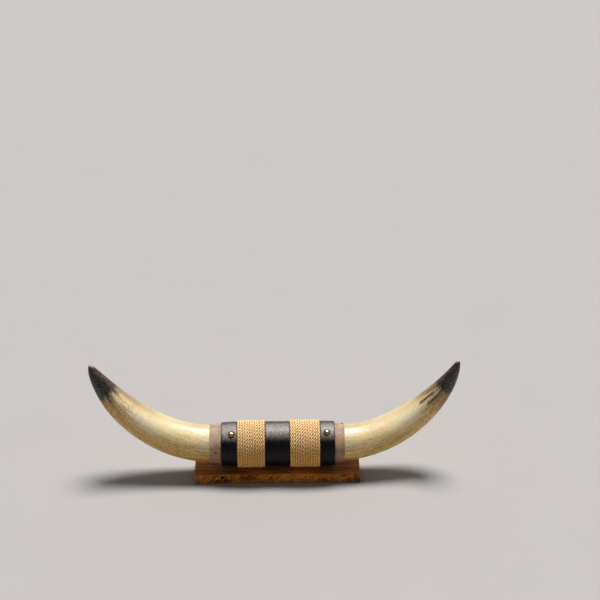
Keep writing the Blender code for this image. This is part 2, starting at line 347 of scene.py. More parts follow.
hornLook = {
    "straight": 18 * mm,  # the centreline leaves the roller straight, then climbs
    "rise": 1.6 * mm,  # above the roller's axis
    "hookPower": 6,
    "leanPower": 1.3,
    "sides": 60,
    "rings": 54,
    "ringShift": 0.10,  # how far the middle rings move towards the tip
    "lineSteps": 900,
    "hollowDepth": 39 * mm,
    "hollowMouth": 20.6 * mm,
    "hollowFloor": 16.6 * mm,
    "lumps": 0.55 * mm,
    "fibres": 0.10 * mm,
    "growthRings": 0.05 * mm,
    "growthStep": 5.5 * mm,
    "growthFades": (35 * mm, 90 * mm),  # from the butt
    "inset": 0.25 * mm,  # leaves room for the lumps inside the solid
    "fullRelief": 9 * mm,  # thinner than this radius, the relief gets lower
    "tipRings": ((0.26, 0.95), (0.46, 0.80), (0.60, 0.56), (0.67, 0.26)),  # ahead, size: tip radii
    "swellingAt": 0.655,  # share of the length: a low bump on the crown
    "swellingWidth": 0.03,
    "swellingUp": (0.5, 0.95),
    "breakMissing": 1.6 * mm,  # what a broken tip has lost
    "breakSlant": 0.22,
    "breakReach": 12 * mm,
    "breakRagged": (0.45 * mm, 0.35 * mm),  # coarse and fine
    "bump": 0.26 * mm,
    "glow": 12 * mm,  # how far light spreads under the surface
    "cream": paint(253, 231, 180),
    "pale": paint(255, 240, 202),
    "honey": paint(236, 190, 100),
    "umber": paint(156, 110, 54),
    "olive": paint(150, 122, 52),
    "nearTan": paint(194, 172, 134),  # on the crown behind the highlight: partly the horn's own tan, partly painted shade
    "farTan": paint(138, 122, 88),
    "speck": (0.52, 0.39, 0.20, 1.0),  # multiplied
    "fleck": paint(246, 208, 124),
    "red": paint(150, 82, 36),
    "browning": paint(112, 84, 42),
    "soot": paint(12, 13, 11),
    "ash": paint(78, 77, 68),
    "tipBrown": paint(58, 39, 31),
    "tipTan": paint(112, 85, 66),
    "tipWorn": paint(170, 130, 88),
    "markEdge": paint(72, 58, 34),
}
horns = {
    "left": {"side": -1, "length": 268.9 * mm, "climb": radians(65.9), "climbPower": 0.878,
             "hook": radians(-1.2), "butt": 31.1 * mm, "tip": 3.4 * mm, "taper": (2.69, 0.74),
             "lean": 17.7 * mm, "bow": 0.0, "seed": 3.1, "swelling": 0.7 * mm, "broken": True,
             "gold": paint(226, 180, 80), "dulled": (0.42, 0.52), "greens": (0.54, 0.74),
             "reddish": 0.22, "browning": (0.735, 0.80), "worn": (0.988, 0.998), "rough": 0.36},
    "right": {"side": 1, "length": 266.4 * mm, "climb": radians(72.9), "climbPower": 0.948,
              "hook": 0.0, "butt": 30.1 * mm, "tip": 3.9 * mm, "taper": (2.47, 0.87),
              "lean": 12 * mm, "bow": 13 * mm, "seed": 11.4, "swelling": 0.0, "broken": False,
              "gold": paint(238, 198, 106), "dulled": (0.58, 0.68), "greens": (0.56, 0.74),
              "reddish": 0.60, "browning": (0.62, 0.79), "worn": (0.992, 1.008), "rough": 0.32},
}


def hornLine(word):  # places, directions and radii along a horn's centreline, butt to tip
    horn = horns[word]
    low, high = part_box(word + "_horn")
    x = min(abs(low.x), abs(high.x))
    z = axisHeight + hornLook["rise"]
    steps = hornLook["lineSteps"]
    step = horn["length"] / steps
    straight = hornLook["straight"]
    power, blunt = horn["taper"]
    line = []
    for i in range(steps + 1):
        share = i / steps
        climbed = max(0.0, share * horn["length"] - straight) / (horn["length"] - straight)
        angle = horn["climb"] * climbed ** horn["climbPower"]
        angle += horn["hook"] * climbed ** hornLook["hookPower"]
        radius = horn["tip"] + (horn["butt"] - horn["tip"]) * (1 - share ** power) ** blunt
        leaned = climbed ** hornLook["leanPower"]
        y = horn["lean"] * leaned + horn["bow"] * sin(pi * leaned)
        line.append([Vector((horn["side"] * x, y, z)), None, radius])
        x += cos(angle) * step
        z += sin(angle) * step
    for i, spot in enumerate(line):
        spot[1] = (line[min(i + 1, steps)][0] - line[max(i - 1, 0)][0]).normalized()
    return line


def growRing(old, new):  # one more ring of the horn: extrude, turn to the new direction, resize
    (oldPlace, oldAhead, oldRadius), (newPlace, newAhead, newRadius) = old, new
    bpy.ops.mesh.extrude_region_move(TRANSFORM_OT_translate={"value": newPlace - oldPlace})
    turn = atan2(newAhead.z, newAhead.x) - atan2(oldAhead.z, oldAhead.x)
    if abs(turn) > 1e-6:
        bpy.ops.transform.rotate(value=turn, orient_axis="Y", center_override=newPlace)
    size = newRadius / oldRadius
    if abs(size - 1) > 1e-6:
        bpy.ops.transform.resize(value=(size, size, size), center_override=newPlace)


def hornCage(word, line):  # hollow floor, hollow mouth, butt face, then rings to the closed tip
    look = hornLook
    side = horns[word]["side"]
    buttPlace, _, buttRadius = line[0]
    inward = Vector((side, 0, 0))
    mouthPlace = Vector((buttPlace.x, 0, axisHeight))
    floorPlace = mouthPlace + inward * look["hollowDepth"]
    deselectAll()
    bpy.ops.mesh.primitive_circle_add(vertices=look["sides"], radius=look["hollowFloor"],
                                      fill_type="NGON", location=floorPlace,
                                      rotation=(0, side * pi / 2, 0))
    horn = bpy.context.object
    bpy.ops.object.mode_set(mode="EDIT")
    stations = [(floorPlace, inward, look["hollowFloor"]), (mouthPlace, inward, look["hollowMouth"]),
                (buttPlace, inward, buttRadius)]
    last = len(line) - 1
    for ring in range(1, look["rings"] + 1):
        share = ring / look["rings"]
        stations.append(line[round(last * (share + look["ringShift"] * sin(pi * share) ** 2 * share))])
    tipPlace, tipAhead, tipRadius = line[-1]
    for ahead, size in look["tipRings"]:
        stations.append((tipPlace + tipAhead * tipRadius * ahead, tipAhead, tipRadius * size))
    for old, new in zip(stations, stations[1:]):
        growRing(old, new)

    def onSharpEdge(vert):  # the butt's rim, the hollow's mouth or the hollow's floor
        spot = vert.co + horn.location
        return (abs(abs(spot.x) - abs(buttPlace.x)) < 1e-5
                or (spot - floorPlace).length < look["hollowFloor"] + 1e-5)

    pick("edges", lambda edge: all(onSharpEdge(vert) for vert in edge.verts))
    bpy.ops.transform.edge_crease(value=1.0)
    faceOutward()
    applyTransform()
    applyModifier(horn, "SUBSURF", levels=2, render_levels=2)
    return horn


def hornSpots(horn, line):  # for each vertex: distance along, up and front offsets, local radius
    finder = kdtree.KDTree(len(line))
    for i, station in enumerate(line):
        finder.insert(station[0], i)
    finder.balance()
    step = (line[1][0] - line[0][0]).length
    spots = []
    for vertex in horn.data.vertices:
        spot, i, _ = finder.find(vertex.co)
        ahead, radius = line[i][1:]
        offset = vertex.co - spot
        along = i * step + offset.dot(ahead)
        front = Vector((0, -1, 0))
        front = (front - ahead * front.dot(ahead)).normalized()
        up = front.cross(ahead)
        if up.z < 0:
            up = -up
        spots.append((along, offset.dot(up), offset.dot(front), radius, up, front))
    return spots


def shapeHorn(word, horn, spots):  # lumps, long fibres, faint growth rings and the worn tip
    look = hornLook
    length, seed = horns[word]["length"], horns[word]["seed"]
    for vertex, (along, up, front, radius, upward, forward) in zip(horn.data.vertices, spots):
        reach = (up * up + front * front) ** 0.5
        if reach < 0.5 * radius or along < 1 * mm:
            continue
        share = along / length
        upShare, frontShare = up / reach, front / reach
        around = (along * 18, upShare * 1.3, frontShare * 1.3)
        grow = look["lumps"] * ripple(around, 1.0, seed) * ease(share, 0.0, 0.1)
        fibre = (along * 26, upShare * 13, frontShare * 13)
        grow += look["fibres"] * ripple(fibre, 1.0, seed + 5)
        ringing = sin(along / look["growthStep"] * 2 * pi + 2.5 * ripple(around, 1.6, seed + 9))
        grow += look["growthRings"] * ringing * (1 - ease(along, *look["growthFades"]))
        swollen = hump(share, look["swellingAt"], look["swellingWidth"])
        grow += horns[word]["swelling"] * swollen * ease(upShare, *look["swellingUp"])
        outward = (upward * upShare + forward * frontShare)
        vertex.co += outward * (grow - look["inset"]) * min(1.0, radius / look["fullRelief"])
    if horns[word]["broken"]:
        breakTip(horn)


def breakTip(horn):  # broken off flat, a little slanted and ragged
    look = hornLook
    top = max((vertex.co for vertex in horn.data.vertices), key=lambda spot: spot.z)
    level = top.z - look["breakMissing"]
    coarse, fine = look["breakRagged"]
    for vertex in horn.data.vertices:
        if vertex.co.z < level - look["breakReach"]:
            continue
        ragged = coarse * ripple(vertex.co, 420, 2.0) + fine * ripple(vertex.co, 1100, 6.0)
        limit = level - look["breakSlant"] * (vertex.co.x - top.x) + ragged
        vertex.co.z = min(vertex.co.z, limit)


hornMarks = {  # dark streaks below the tips: share of the length from and to, up share there, width
    "left": ((0.745, 0.800, 0.07, 0.00, 0.10), (0.775, 0.815, 0.45, 0.40, 0.07),
             (0.765, 0.805, 0.86, 0.84, 0.05), (0.780, 0.815, -0.35, -0.40, 0.08)),
    "right": ((0.626, 0.740, 0.77, 0.71, 0.090), (0.665, 0.800, 0.38, 0.33, 0.11),
              (0.725, 0.810, 0.60, 0.56, 0.05), (0.700, 0.800, 0.93, 0.91, 0.03),
              (0.750, 0.815, 0.06, 0.0, 0.08)),
}


def hornFinish(word):
    look, tone = horns[word], hornLook
    skin = Finish(word + "Horn")
    place = skin.attribute("hornPlace")
    share, up, front = skin.parts(skin.attribute("hornShare"))
    streaks = skin.grain(skin.stretch(place, (9, 230, 230)), detail=5, rough=0.62)
    threads = skin.grain(skin.stretch(place, (26, 560, 560)), detail=3, rough=0.65)
    clouds = skin.grain(skin.stretch(place, (14, 24, 24)), detail=3, rough=0.5)
    patches = skin.grain(skin.stretch(place, (60, 115, 115)), detail=5, rough=0.70)
    flecks = skin.grain(skin.stretch(place, (230, 360, 360)), detail=3, rough=0.75)
    soot = skin.grain(skin.stretch(place, (300, 170, 170)), detail=4, rough=0.7)

    # The cream body, tan on the crown and golden below; the crown's tan and the underside's gold are
    # partly painted shade
    body = skin.tint(skin.fade(clouds, 0.38, 0.62), tone["cream"], tone["pale"])
    # Painted light: towards the middle of the length the darker marks thin out, standing in for a
    # broader highlight there
    midLight = skin.band(share, 0.46, 0.24)
    body = skin.tint(skin.fade(streaks, 0.46, 0.62) * (0.46 - midLight * 0.30), body, tone["honey"])
    # Painted shade on the crown, mixed with the horn's own speckled tan: the top edge stays darker
    # than the highlight below it
    crownTanAndShade = skin.fade(front + (streaks - 0.5) * 0.35 + (flecks - 0.5) * 0.7, 0.66, 0.10)
    crownTanAndShade = crownTanAndShade * skin.fade(up, 0.45, 0.8) * (skin.fade(share, 0.38, 0.60) * 0.10 + 0.72)
    tan = skin.tint(skin.fade(share, *look["dulled"]), tone["nearTan"], tone["farTan"])
    body = skin.tint(crownTanAndShade * (1 - midLight * 0.25), body, tan)
    # Golden towards the underside: partly the horn's own colour, partly painted shade
    below = skin.fade(up + (streaks - 0.5) * 0.6 + (clouds - 0.5) * 0.4, 0.52, -0.34)
    body = skin.tint(below * 0.86, body, look["gold"])

    # Olive mottling towards the tip, specks, flecks and fine threads
    beyond = skin.fade(share + (clouds - 0.5) * 0.25, *look["greens"])
    mottled = skin.fade(patches * 0.6 + flecks * 0.9 + (streaks - 0.5) * 0.3, 0.68, 0.92)
    mottled = (mottled * 0.52 + 0.04) * beyond * skin.fade(up, 1.0, 0.35, 0.45, 1.0)
    body = skin.tint(mottled, body, tone["olive"])
    speckled = skin.fade(flecks, 0.48, 0.60) * (beyond * 0.15 + below * 0.45 + 0.36 - midLight * 0.13)
    body = skin.tint(speckled, body, tone["speck"], "MULTIPLY")
    body = skin.tint(skin.fade(flecks, 0.49, 0.39) * below * 0.45, body, tone["fleck"])
    threaded = skin.fade(threads, 0.47, 0.62) * (below * 0.44 + 0.24) * (1 - midLight * 0.3)
    body = skin.tint(threaded, body, tone["umber"])
    reddened = skin.fade(streaks * 0.6 + threads * 0.7, 0.70, 0.84) * below * look["reddish"]
    body = skin.tint(reddened, body, tone["red"])
    ragged = share + (streaks - 0.5) * 0.105 + (threads - 0.5) * 0.075
    browning = skin.fade(ragged, *look["browning"]) * skin.fade(threads + streaks, 0.75, 1.15) * 0.8
    body = skin.tint(browning, body, tone["browning"])

    # The dark tip and the streaks that run down from it
    dark = skin.fade(ragged, 0.784, 0.812)
    marked = dark
    for start, end, upStart, upEnd, width in hornMarks[word]:
        slope = (upEnd - upStart) / (end - start)
        aside = up - (share - start) * slope - upStart + (threads - 0.5) * width
        mark = skin.band(aside, 0.0, width) * skin.fade(front, -0.35, -0.05)
        mark = mark * skin.fade(share, start - 0.012, start + 0.02) * skin.fade(share, end + 0.03, end)
        marked = skin.greater(marked, mark * skin.fade(flecks + threads, 0.72, 1.06, 0.40, 0.97))
    sooty = skin.tint(skin.fade(soot, 0.44, 0.62), tone["soot"], tone["ash"])
    brown = skin.tint(skin.fade(soot + (streaks - 0.5), 0.38, 0.62), tone["tipBrown"], tone["tipTan"])
    browned = skin.fade(up * 0.8 + (patches - 0.5) * 1.9 + (soot - 0.5) * 1.1, 0.35, 0.95)
    tip = skin.tint(browned * 0.9, sooty, brown)
    worn = skin.fade(share + (soot - 0.5) * 0.02, *look["worn"]) * skin.fade(up, 0.15, 0.55)
    tip = skin.tint(worn * skin.fade(flecks, 0.62, 0.44), tip, tone["tipWorn"])
    color = skin.tint(marked, body, skin.tint(dark, tone["markEdge"], tip))

    height = streaks * 0.6 + threads * 0.4 + flecks * 0.5
    rough = skin.fade(patches + (flecks - 0.5) * 0.6, 0.3, 0.7) * 0.13 + look["rough"]
    skin.set(base_color=color, roughness=rough, normal=skin.bump(height, hornLook["bump"], 0.9),
             coat_weight=0.08, coat_roughness=0.25, subsurface_weight=0.35,
             subsurface_radius=(1.0, 0.55, 0.2), subsurface_scale=hornLook["glow"])
    return skin.block


def makeHorn(word):
    line = hornLine(word)
    horn = hornCage(word, line)
    spots = hornSpots(horn, line)
    shapeHorn(word, horn, spots)
    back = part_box(word + "_horn")[1].y
    for vertex in horn.data.vertices:
        vertex.co.y = min(vertex.co.y, back)
    length, butt = horns[word]["length"], horns[word]["butt"]
    places, shares = [], []
    for along, up, front, *_ in spots:
        reach = max(1e-4, (up * up + front * front) ** 0.5)
        places.append((along, butt * up / reach, butt * front / reach))
        shares.append((along / length, up / reach, front / reach))
    writeVectors(horn, "hornPlace", places)
    writeVectors(horn, "hornShare", shares)
    finishPiece(horn, word + "SteerHorn", hornFinish(word), 40, word + "_horn")


for word in horns:
    makeHorn(word)


# Strips of leather bent round the roller and round the horns' butts

tacks = {
    "frontLeftTack": {"node": "front_left_tack", "x": -77.0 * mm, "angle": radians(54)},
    "frontRightTack": {"node": "front_right_tack", "x": 80.7 * mm, "angle": radians(58)},
    "backLeftTack": {"node": "back_left_tack", "x": -81.5 * mm, "angle": radians(196)},
    "backRightTack": {"node": "back_right_tack", "x": 83.0 * mm, "angle": radians(196)},
}
strap = {
    "thickness": 2.9 * mm,
    "seam": radians(222),  # from straight up, over the front: low at the back
    "seamGap": 0.8 * mm,
    "steps": 150,
    "cell": 1.4 * mm,
    "roundEdge": 0.7 * mm,
    "dimpleReach": (1.5 * mm, 7.5 * mm),
    "dimpleDepth": 0.85 * mm,
    "unevenness": 0.16 * mm,
    "wornEdge": (0.2 * mm, 2.2 * mm),
    "edgeDrop": 0.25 * mm,
    "edgeDropReach": 3 * mm,
    "sheenLean": (0.18, 0.135),  # how far the painted sheen leans to the front, at the left and right end
    "sheenRise": 0.988,  # how much the height counts beside that lean
    "sheenFade": (0.64, 0.97),  # where it starts and is full, from 0 level to 1 on the crown
    "centreDrop": 0.04,  # how much higher it starts on the centre band
    "tackShadowFade": (7.2 * mm, 5.2 * mm),
    "black": paint(5, 5, 5),
    "faded": paint(12, 11, 9),
    "edge": paint(60, 53, 47),
    "speck": paint(62, 55, 46),
    "dustAndSheenColor": paint(104, 99, 95),
    "paleDustAndSheen": paint(164, 155, 148),
    "tackShadow": paint(14, 12, 11),
}
bands = {
    "leftLeatherBand": {"node": "left_leather_band", "lowTaper": 1.1 * mm, "highTaper": 0.0,
                        "seed": 2.0},
    "centreLeatherBand": {"node": "centre_leather_band", "lowTaper": 0.0, "highTaper": 0.0,
                          "seed": 7.0},
    "rightLeatherBand": {"node": "right_leather_band", "lowTaper": 0.0, "highTaper": 0.5 * mm,
                         "seed": 4.0},
}


def bendStrip(ends, inner, outer, height):  # a strip's cross section spun almost once round
    lowX, highX = ends
    outward = Vector((0, -sin(strap["seam"]), cos(strap["seam"])))
    middle = Vector(((lowX + highX) / 2, 0, height)) + outward * (inner + outer) / 2
    deselectAll()
    bpy.ops.mesh.primitive_plane_add(size=1, location=middle, rotation=(pi / 2 + strap["seam"], 0, 0))
    strip = bpy.context.object
    strip.scale = (highX - lowX, outer - inner, 1)
    applyTransform()
    bpy.ops.object.mode_set(mode="EDIT")
    pick("edges", lambda edge: abs(edge.verts[0].co.x - edge.verts[1].co.x) > 1e-6)
    bpy.ops.mesh.subdivide(number_cuts=round((highX - lowX) / strap["cell"]))
    bpy.ops.mesh.select_all(action="SELECT")
    turn = 2 * pi - strap["seamGap"] / inner
    bpy.ops.mesh.spin(steps=strap["steps"], angle=turn, center=(0, 0, height), axis=(1, 0, 0))
    bpy.ops.mesh.select_all(action="SELECT")
    bpy.ops.mesh.remove_doubles(threshold=1e-6)
    faceOutward()
    applyModifier(strip, "BEVEL", width=strap["roundEdge"], segments=3, limit_method="ANGLE",
                  angle_limit=radians(50))
    return strip


def onRoller(spot, height):  # angle from straight up over the front, and radius
    return atan2(-spot.y, spot.z - height), (spot.y ** 2 + (spot.z - height) ** 2) ** 0.5


def pushOut(vertex, amount, height):  # moves a vertex away from an axis along X
    outward = Vector((0, vertex.co.y, vertex.co.z - height)).normalized()
    vertex.co += outward * amount


def angleGap(first, second):
    return abs((first - second + pi) % (2 * pi) - pi)


def dimple(x, angle, radius):  # how far the leather is drawn in beside the tacks
    depth = 0.0
    for tack in tacks.values():
        aside = angleGap(angle, pi / 2 - tack["angle"]) * radius
        distance = ((x - tack["x"]) ** 2 + aside ** 2) ** 0.5
        depth += strap["dimpleDepth"] * (1 - ease(distance, *strap["dimpleReach"]))
    return depth


def shapeBand(strip, band, low, high):
    inner = high.z - axisHeight - strap["thickness"]
    wear = []
    for vertex in strip.data.vertices:
        angle, radius = onRoller(vertex.co, axisHeight)
        outerShare = min(1.0, max(0.0, (radius - inner) / strap["thickness"]))
        x = vertex.co.x
        along = (x - low.x) / (high.x - low.x)
        grow = -band["lowTaper"] * (1 - along) ** 1.5 - band["highTaper"] * along ** 2
        grow -= dimple(x, angle, radius)
        grow += strap["unevenness"] * (ripple(vertex.co, 38, band["seed"]) - 0.6)
        grow += 0.3 * strap["unevenness"] * (ripple(vertex.co, 150, band["seed"]) - 0.5)
        edge = min(x - low.x, high.x - x)
        wear.append(1 - ease(edge, *strap["wornEdge"]))
        grow -= strap["edgeDrop"] * (1 - ease(edge, 0, strap["edgeDropReach"]))
        pushOut(vertex, grow * outerShare, axisHeight)
    writeNumbers(strip, "edgeWear", wear)


def leatherFinish(outerRadius):  # grey along the top, partly dust and partly painted sheen, rubbed at the edges; near black below
    hide, tone = Finish("blackLeather"), strap
    place = hide.objectPlace()
    x, across, high = hide.parts(place)
    edge = hide.number("edgeWear")
    pores = hide.cells(place, 1500)
    creases = hide.grain(place, 620, detail=4, rough=0.6)
    clouds = hide.grain(place, 55, detail=3)
    specks = hide.grain(place, 420, detail=4, rough=0.75)
    rubbed = hide.fade(edge + (creases - 0.5) * 0.9, 0.55, 1.15)
    # Painted sheen with some dust: a grey band along the crown, leaning to the front, starting higher
    # on the centre band, fading behind the crown and beside the edges
    lean = hide.fade(x, -90 * mm, 90 * mm, *strap["sheenLean"])
    upward = ((high - axisHeight) * strap["sheenRise"] - across * lean) / outerRadius
    central = hide.fade(x * x, (45 * mm) ** 2, (15 * mm) ** 2)
    upward = upward - central * strap["centreDrop"] + (specks - 0.5) * 0.20 + (clouds - 0.5) * 0.08
    behind = hide.fade(across / outerRadius, 0.22, -0.20, 0.22, 1.0)
    dustAndSheenShare = hide.fade(upward, *strap["sheenFade"]) * behind * (1 - edge * 0.6)
    color = hide.tint(clouds, tone["black"], tone["faded"])
    color = hide.tint(rubbed * 0.4, color, tone["edge"])
    color = hide.tint(hide.fade(specks, 0.52, 0.70) * 0.6, color, tone["speck"])
    dustAndSheenColor = hide.tint(hide.fade(specks, 0.35, 0.65), tone["dustAndSheenColor"], tone["paleDustAndSheen"])
    color = hide.tint(dustAndSheenShare, color, dustAndSheenColor)
    for tack in tacks.values():
        aside = across + outerRadius * cos(tack["angle"])
        above = high - axisHeight - outerRadius * sin(tack["angle"])
        away = hide.distance(x - tack["x"], aside, above)
        color = hide.tint(hide.fade(away, *strap["tackShadowFade"]) * 0.8, color, tone["tackShadow"])
    rough = hide.fade(creases + (clouds - 0.5) * 0.6, 0.3, 0.7, 0.34, 0.46)
    hide.set(base_color=color, roughness=rough, coat_weight=dustAndSheenShare * 0.10, coat_roughness=0.34,
             normal=hide.bump(pores * 0.5 + creases * 0.9, 0.12 * mm, 0.8))
    hide.shader.inputs["Specular IOR Level"].default_value = 0.16
    return hide.block


def makeBands():
    material = leatherFinish(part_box("centre_leather_band")[1].z - axisHeight)
    for name, band in bands.items():
        low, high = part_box(band["node"])
        outer = high.z - axisHeight
        strip = bendStrip((low.x, high.x), outer - strap["thickness"], outer, axisHeight)
        shapeBand(strip, band, low, high)
        finishPiece(strip, name, material, 60, band["node"])


makeBands()


collars = {
    "leftCollar": {"node": "left_collar", "horn": "left", "thickness": 1.5 * mm, "seed": 5.0,
                   "flare": 1.1 * mm},
    "rightCollar": {"node": "right_collar", "horn": "right", "thickness": 2.1 * mm, "seed": 9.0,
                    "flare": 0.3 * mm, "lining": 0.9 * mm, "liningSlip": 1.3 * mm},
}
collarLook = {
    "wornEdge": (0.1 * mm, 1.0 * mm),
    "flareReach": 7 * mm,
    "lumps": 0.12 * mm,
    "nap": 0.05 * mm,
    "slip": 0.35 * mm,  # how uneven the edge beside the horn is
    "slipReach": (4 * mm, 10 * mm),
    "liningGap": 0.03 * mm,
    "mauve": paint(179, 146, 120),
    "light": paint(213, 180, 153),
    "dark": paint(116, 80, 60),
    "low": paint(132, 78, 38),  # painted shade on the underside
    "crown": (0.78, 0.86, 0.89, 1.0),  # multiplied: painted shade on the top
    "edge": paint(210, 180, 156),
}


def shapeCollar(strip, collar, ends, inner, height):
    look, seed = collarLook, collar["seed"]
    side = horns[collar["horn"]]["side"]
    wear = []
    for vertex in strip.data.vertices:
        angle, radius = onRoller(vertex.co, height)
        x = vertex.co.x
        fromRoller = abs(x) - min(abs(ends[0]), abs(ends[1]))
        fromHorn = max(abs(ends[0]), abs(ends[1])) - abs(x)
        wear.append(1 - ease(min(fromRoller, fromHorn), *look["wornEdge"]))
        outerShare = min(1.0, max(0.0, (radius - inner) / collar["thickness"]))
        low = ease(-cos(angle), 0.2, 1.0)  # towards the underside
        grow = collar["flare"] * low * (1 - ease(fromRoller, 0, look["flareReach"]))
        grow += outerShare * look["lumps"] * (ripple(vertex.co, 60, seed) - 0.7)
        grow += outerShare * look["nap"] * ripple(vertex.co, 420, seed)
        slip = look["slip"] * ripple((angle * 2.2, 0, 0), 1.0, seed)
        vertex.co.x -= side * (abs(slip) + 0.05 * mm) * ease(fromRoller, *look["slipReach"])
        pushOut(vertex, grow, height)
    writeNumbers(strip, "edgeWear", wear)


def collarFinish():
    suede, tone = Finish("collarLeather"), collarLook
    place = suede.objectPlace()
    edge = suede.number("edgeWear")
    nap = suede.grain(place, 620, detail=4, rough=0.75)
    blotches = suede.grain(place, 95, detail=4, rough=0.6)
    color = suede.tint(suede.fade(blotches, 0.35, 0.65), tone["mauve"], tone["light"])
    color = suede.tint(suede.fade(nap, 0.42, 0.66) * 0.55, color, tone["dark"])
    high = suede.parts(place)[2] + (blotches - 0.5) * 12 * mm
    # Painted shade: darker and warmer towards the underside, and a little darker on the top
    lowShade = suede.fade(high, axisHeight + 20 * mm, axisHeight - 10 * mm)
    color = suede.tint(lowShade * 0.52, color, tone["low"])
    shadeByHeight = suede.fade(high, axisHeight + 24 * mm, axisHeight + 36 * mm)
    color = suede.tint(shadeByHeight, color, tone["crown"], "MULTIPLY")
    color = suede.tint(suede.fade(edge + (nap - 0.5) * 0.5, 0.6, 1.1) * 0.6, color, tone["edge"])
    suede.set(base_color=color, roughness=0.88, normal=suede.bump(nap, 0.12 * mm, 0.7))
    return suede.block


def makeCollars():  # the right one is two strips, the lining a little wider than the cover
    material = collarFinish()
    for name, collar in collars.items():
        low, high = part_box(collar["node"])
        height = axisHeight + hornLook["rise"]
        outer = high.z - height
        inner = outer - collar["thickness"]
        ends = (low.x, high.x)
        lining = collar.get("lining", 0.0)
        coverEnds = (low.x, high.x - collar["liningSlip"]) if lining else ends
        strip = bendStrip(coverEnds, inner + lining, outer, height)
        shapeCollar(strip, collar, ends, inner, height)
        if lining:
            under = bendStrip(ends, inner, inner + lining - collarLook["liningGap"], height)
            shapeCollar(under, collar, ends, inner, height)
            selectOnly(strip)
            under.select_set(True)
            bpy.ops.object.join()
        finishPiece(strip, name, material, 60, collar["node"])


makeCollars()


# The rope wound between the straps

ropeLook = {
    "diameter": 4.36 * mm,
    "pathRadius": 37.3 * mm,
    "strand": 1.04 * mm,
    "squash": 1.06,  # how much wider than high each turn is pressed against the next
    "sideShade": 0.38,  # share of the painted groove shade that comes from a turn's sides
    "crownsPerTurn": 37.83,
    "pointsPerTurn": 168,
    "start": radians(290),  # from straight up over the front: at the back, just after the step
    "stepStart": radians(270),  # how far into a turn the rope starts to step over to the next turn
    "sway": 0.10 * mm,
    "drift": 1.1,  # how unevenly the strands were laid, in radians of twist
    "thinEnd": 0.45,  # a strand's size at the rope's cut ends
    "thinPoints": 4,  # how many points it takes to reach full size
    "grooveShade": paint(152, 84, 26),
    "crown": paint(255, 219, 158),
    "hair": paint(255, 228, 168),
    "clump": paint(172, 112, 46),
    "stain": paint(212, 152, 74),
    "low": (1.0, 0.80, 0.43, 1.0),  # multiplied: painted shade towards the underside
}
ropes = {
    "leftRope": {"node": "left_rope_wrap", "turned": radians(10 * 360 + 216), "seed": 1.3},
    "rightRope": {"node": "right_rope_wrap", "turned": radians(11 * 360 + 250), "seed": 6.1},
}


def ropeCentre(turned, first, pitch, seed):
    look = ropeLook
    passes, rest = divmod(turned, 2 * pi)
    angle = look["start"] + turned
    x = first + pitch * (passes + ease(rest, look["stepStart"], 2 * pi))
    x += look["sway"] * ripple((turned * 1.5, 0, 0), 1.0, seed)
    radius = look["pathRadius"] + look["sway"] * (ripple((turned * 2.3, 4, 0), 1.0, seed) - 0.6)
    outward = Vector((0, -sin(angle), cos(angle)))
    return Vector((x, 0, axisHeight)) + outward * radius, outward


def layStrands(name, rope, centres, wide):  # three thick lines twisted round the rope's own line
    look, seed = ropeLook, rope["seed"]
    count = len(centres) - 1
    twist = look["crownsPerTurn"] / 3  # whole twists of the rope in one turn
    reach = look["diameter"] / 2 - look["strand"]
    curve = bpy.data.curves.new(name, "CURVE")
    curve.dimensions = "3D"
    curve.bevel_depth = look["strand"]
    curve.bevel_resolution = 2
    for number in range(3):
        spline = curve.splines.new("POLY")
        spline.points.add(count)
        for i, (centre, outward) in enumerate(centres):
            ahead = (centres[min(i + 1, count)][0] - centres[max(i - 1, 0)][0]).normalized()
            aside = ahead.cross(outward).normalized()
            turned = rope["turned"] * i / count
            drift = look["drift"] * ripple((turned * 0.8, 8, 0), 1.0, seed)
            phase = twist * turned + number * 2 * pi / 3 + drift
            end = min(i, count - i)
            spread = (wide / 2 - look["strand"]) * sin(phase)
            spot = centre + outward * reach * cos(phase) + aside * spread
            spline.points[i].co = (*spot, 1.0)
            loose = 1 + 0.05 * ripple((turned * 9, number * 5, 0), 1.0, seed)
            thin = look["thinEnd"] + (1 - look["thinEnd"]) * ease(end, 0, look["thinPoints"])
            spline.points[i].radius = loose * thin
    piece = bpy.data.objects.new(name, curve)
    bpy.context.scene.collection.objects.link(piece)
    selectOnly(piece)
    bpy.ops.object.convert(target="MESH")
    return bpy.context.object


def writeRopePlaces(piece, rope, centres, wide):  # for the grain along the strands and their painted shade
    look = ropeLook
    count = len(centres) - 1
    strand, shade = look["strand"], look["sideShade"]
    turnLength = 2 * pi * look["pathRadius"]
    rings = len(piece.data.vertices) // 3 // (count + 1)
    vertices = iter(piece.data.vertices)
    fibres, crowns = [], []
    for number in range(3):
        for i, (centre, outward) in enumerate(centres):
            turned = rope["turned"] * i / count
            along = turned / (2 * pi) * turnLength + number * 0.37
            for side in range(rings):
                angle = 2 * pi * side / rings
                fibres.append((along, strand * cos(angle), strand * sin(angle)))
                offset = next(vertices).co - centre
                rise = offset.dot(outward) / (look["diameter"] / 2)
                aside = offset.x / (wide / 2)
                lobe = (rise * rise + aside * aside) ** 0.5
                crowns.append(rise * shade + lobe * (1 - shade))
    writeVectors(piece, "ropePlace", fibres)
    writeNumbers(piece, "ropeCrown", crowns)


def makeRope(name, rope, material):
    low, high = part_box(rope["node"])
    turns = rope["turned"] / (2 * pi)
    passes = int(turns) + 1
    wide = ropeLook["diameter"] * ropeLook["squash"]
    pitch = (high.x - low.x - wide) / (passes - 1)
    first = low.x + wide / 2
    count = round(turns * ropeLook["pointsPerTurn"])
    centres = [ropeCentre(rope["turned"] * i / count, first, pitch, rope["seed"])
               for i in range(count + 1)]
    piece = layStrands(name, rope, centres, wide)
    writeRopePlaces(piece, rope, centres, wide)
    bpy.ops.object.mode_set(mode="EDIT")
    bpy.ops.mesh.select_all(action="SELECT")
    bpy.ops.mesh.fill_holes(sides=0)
    faceOutward()
    finishPiece(piece, name, material, 60, rope["node"])


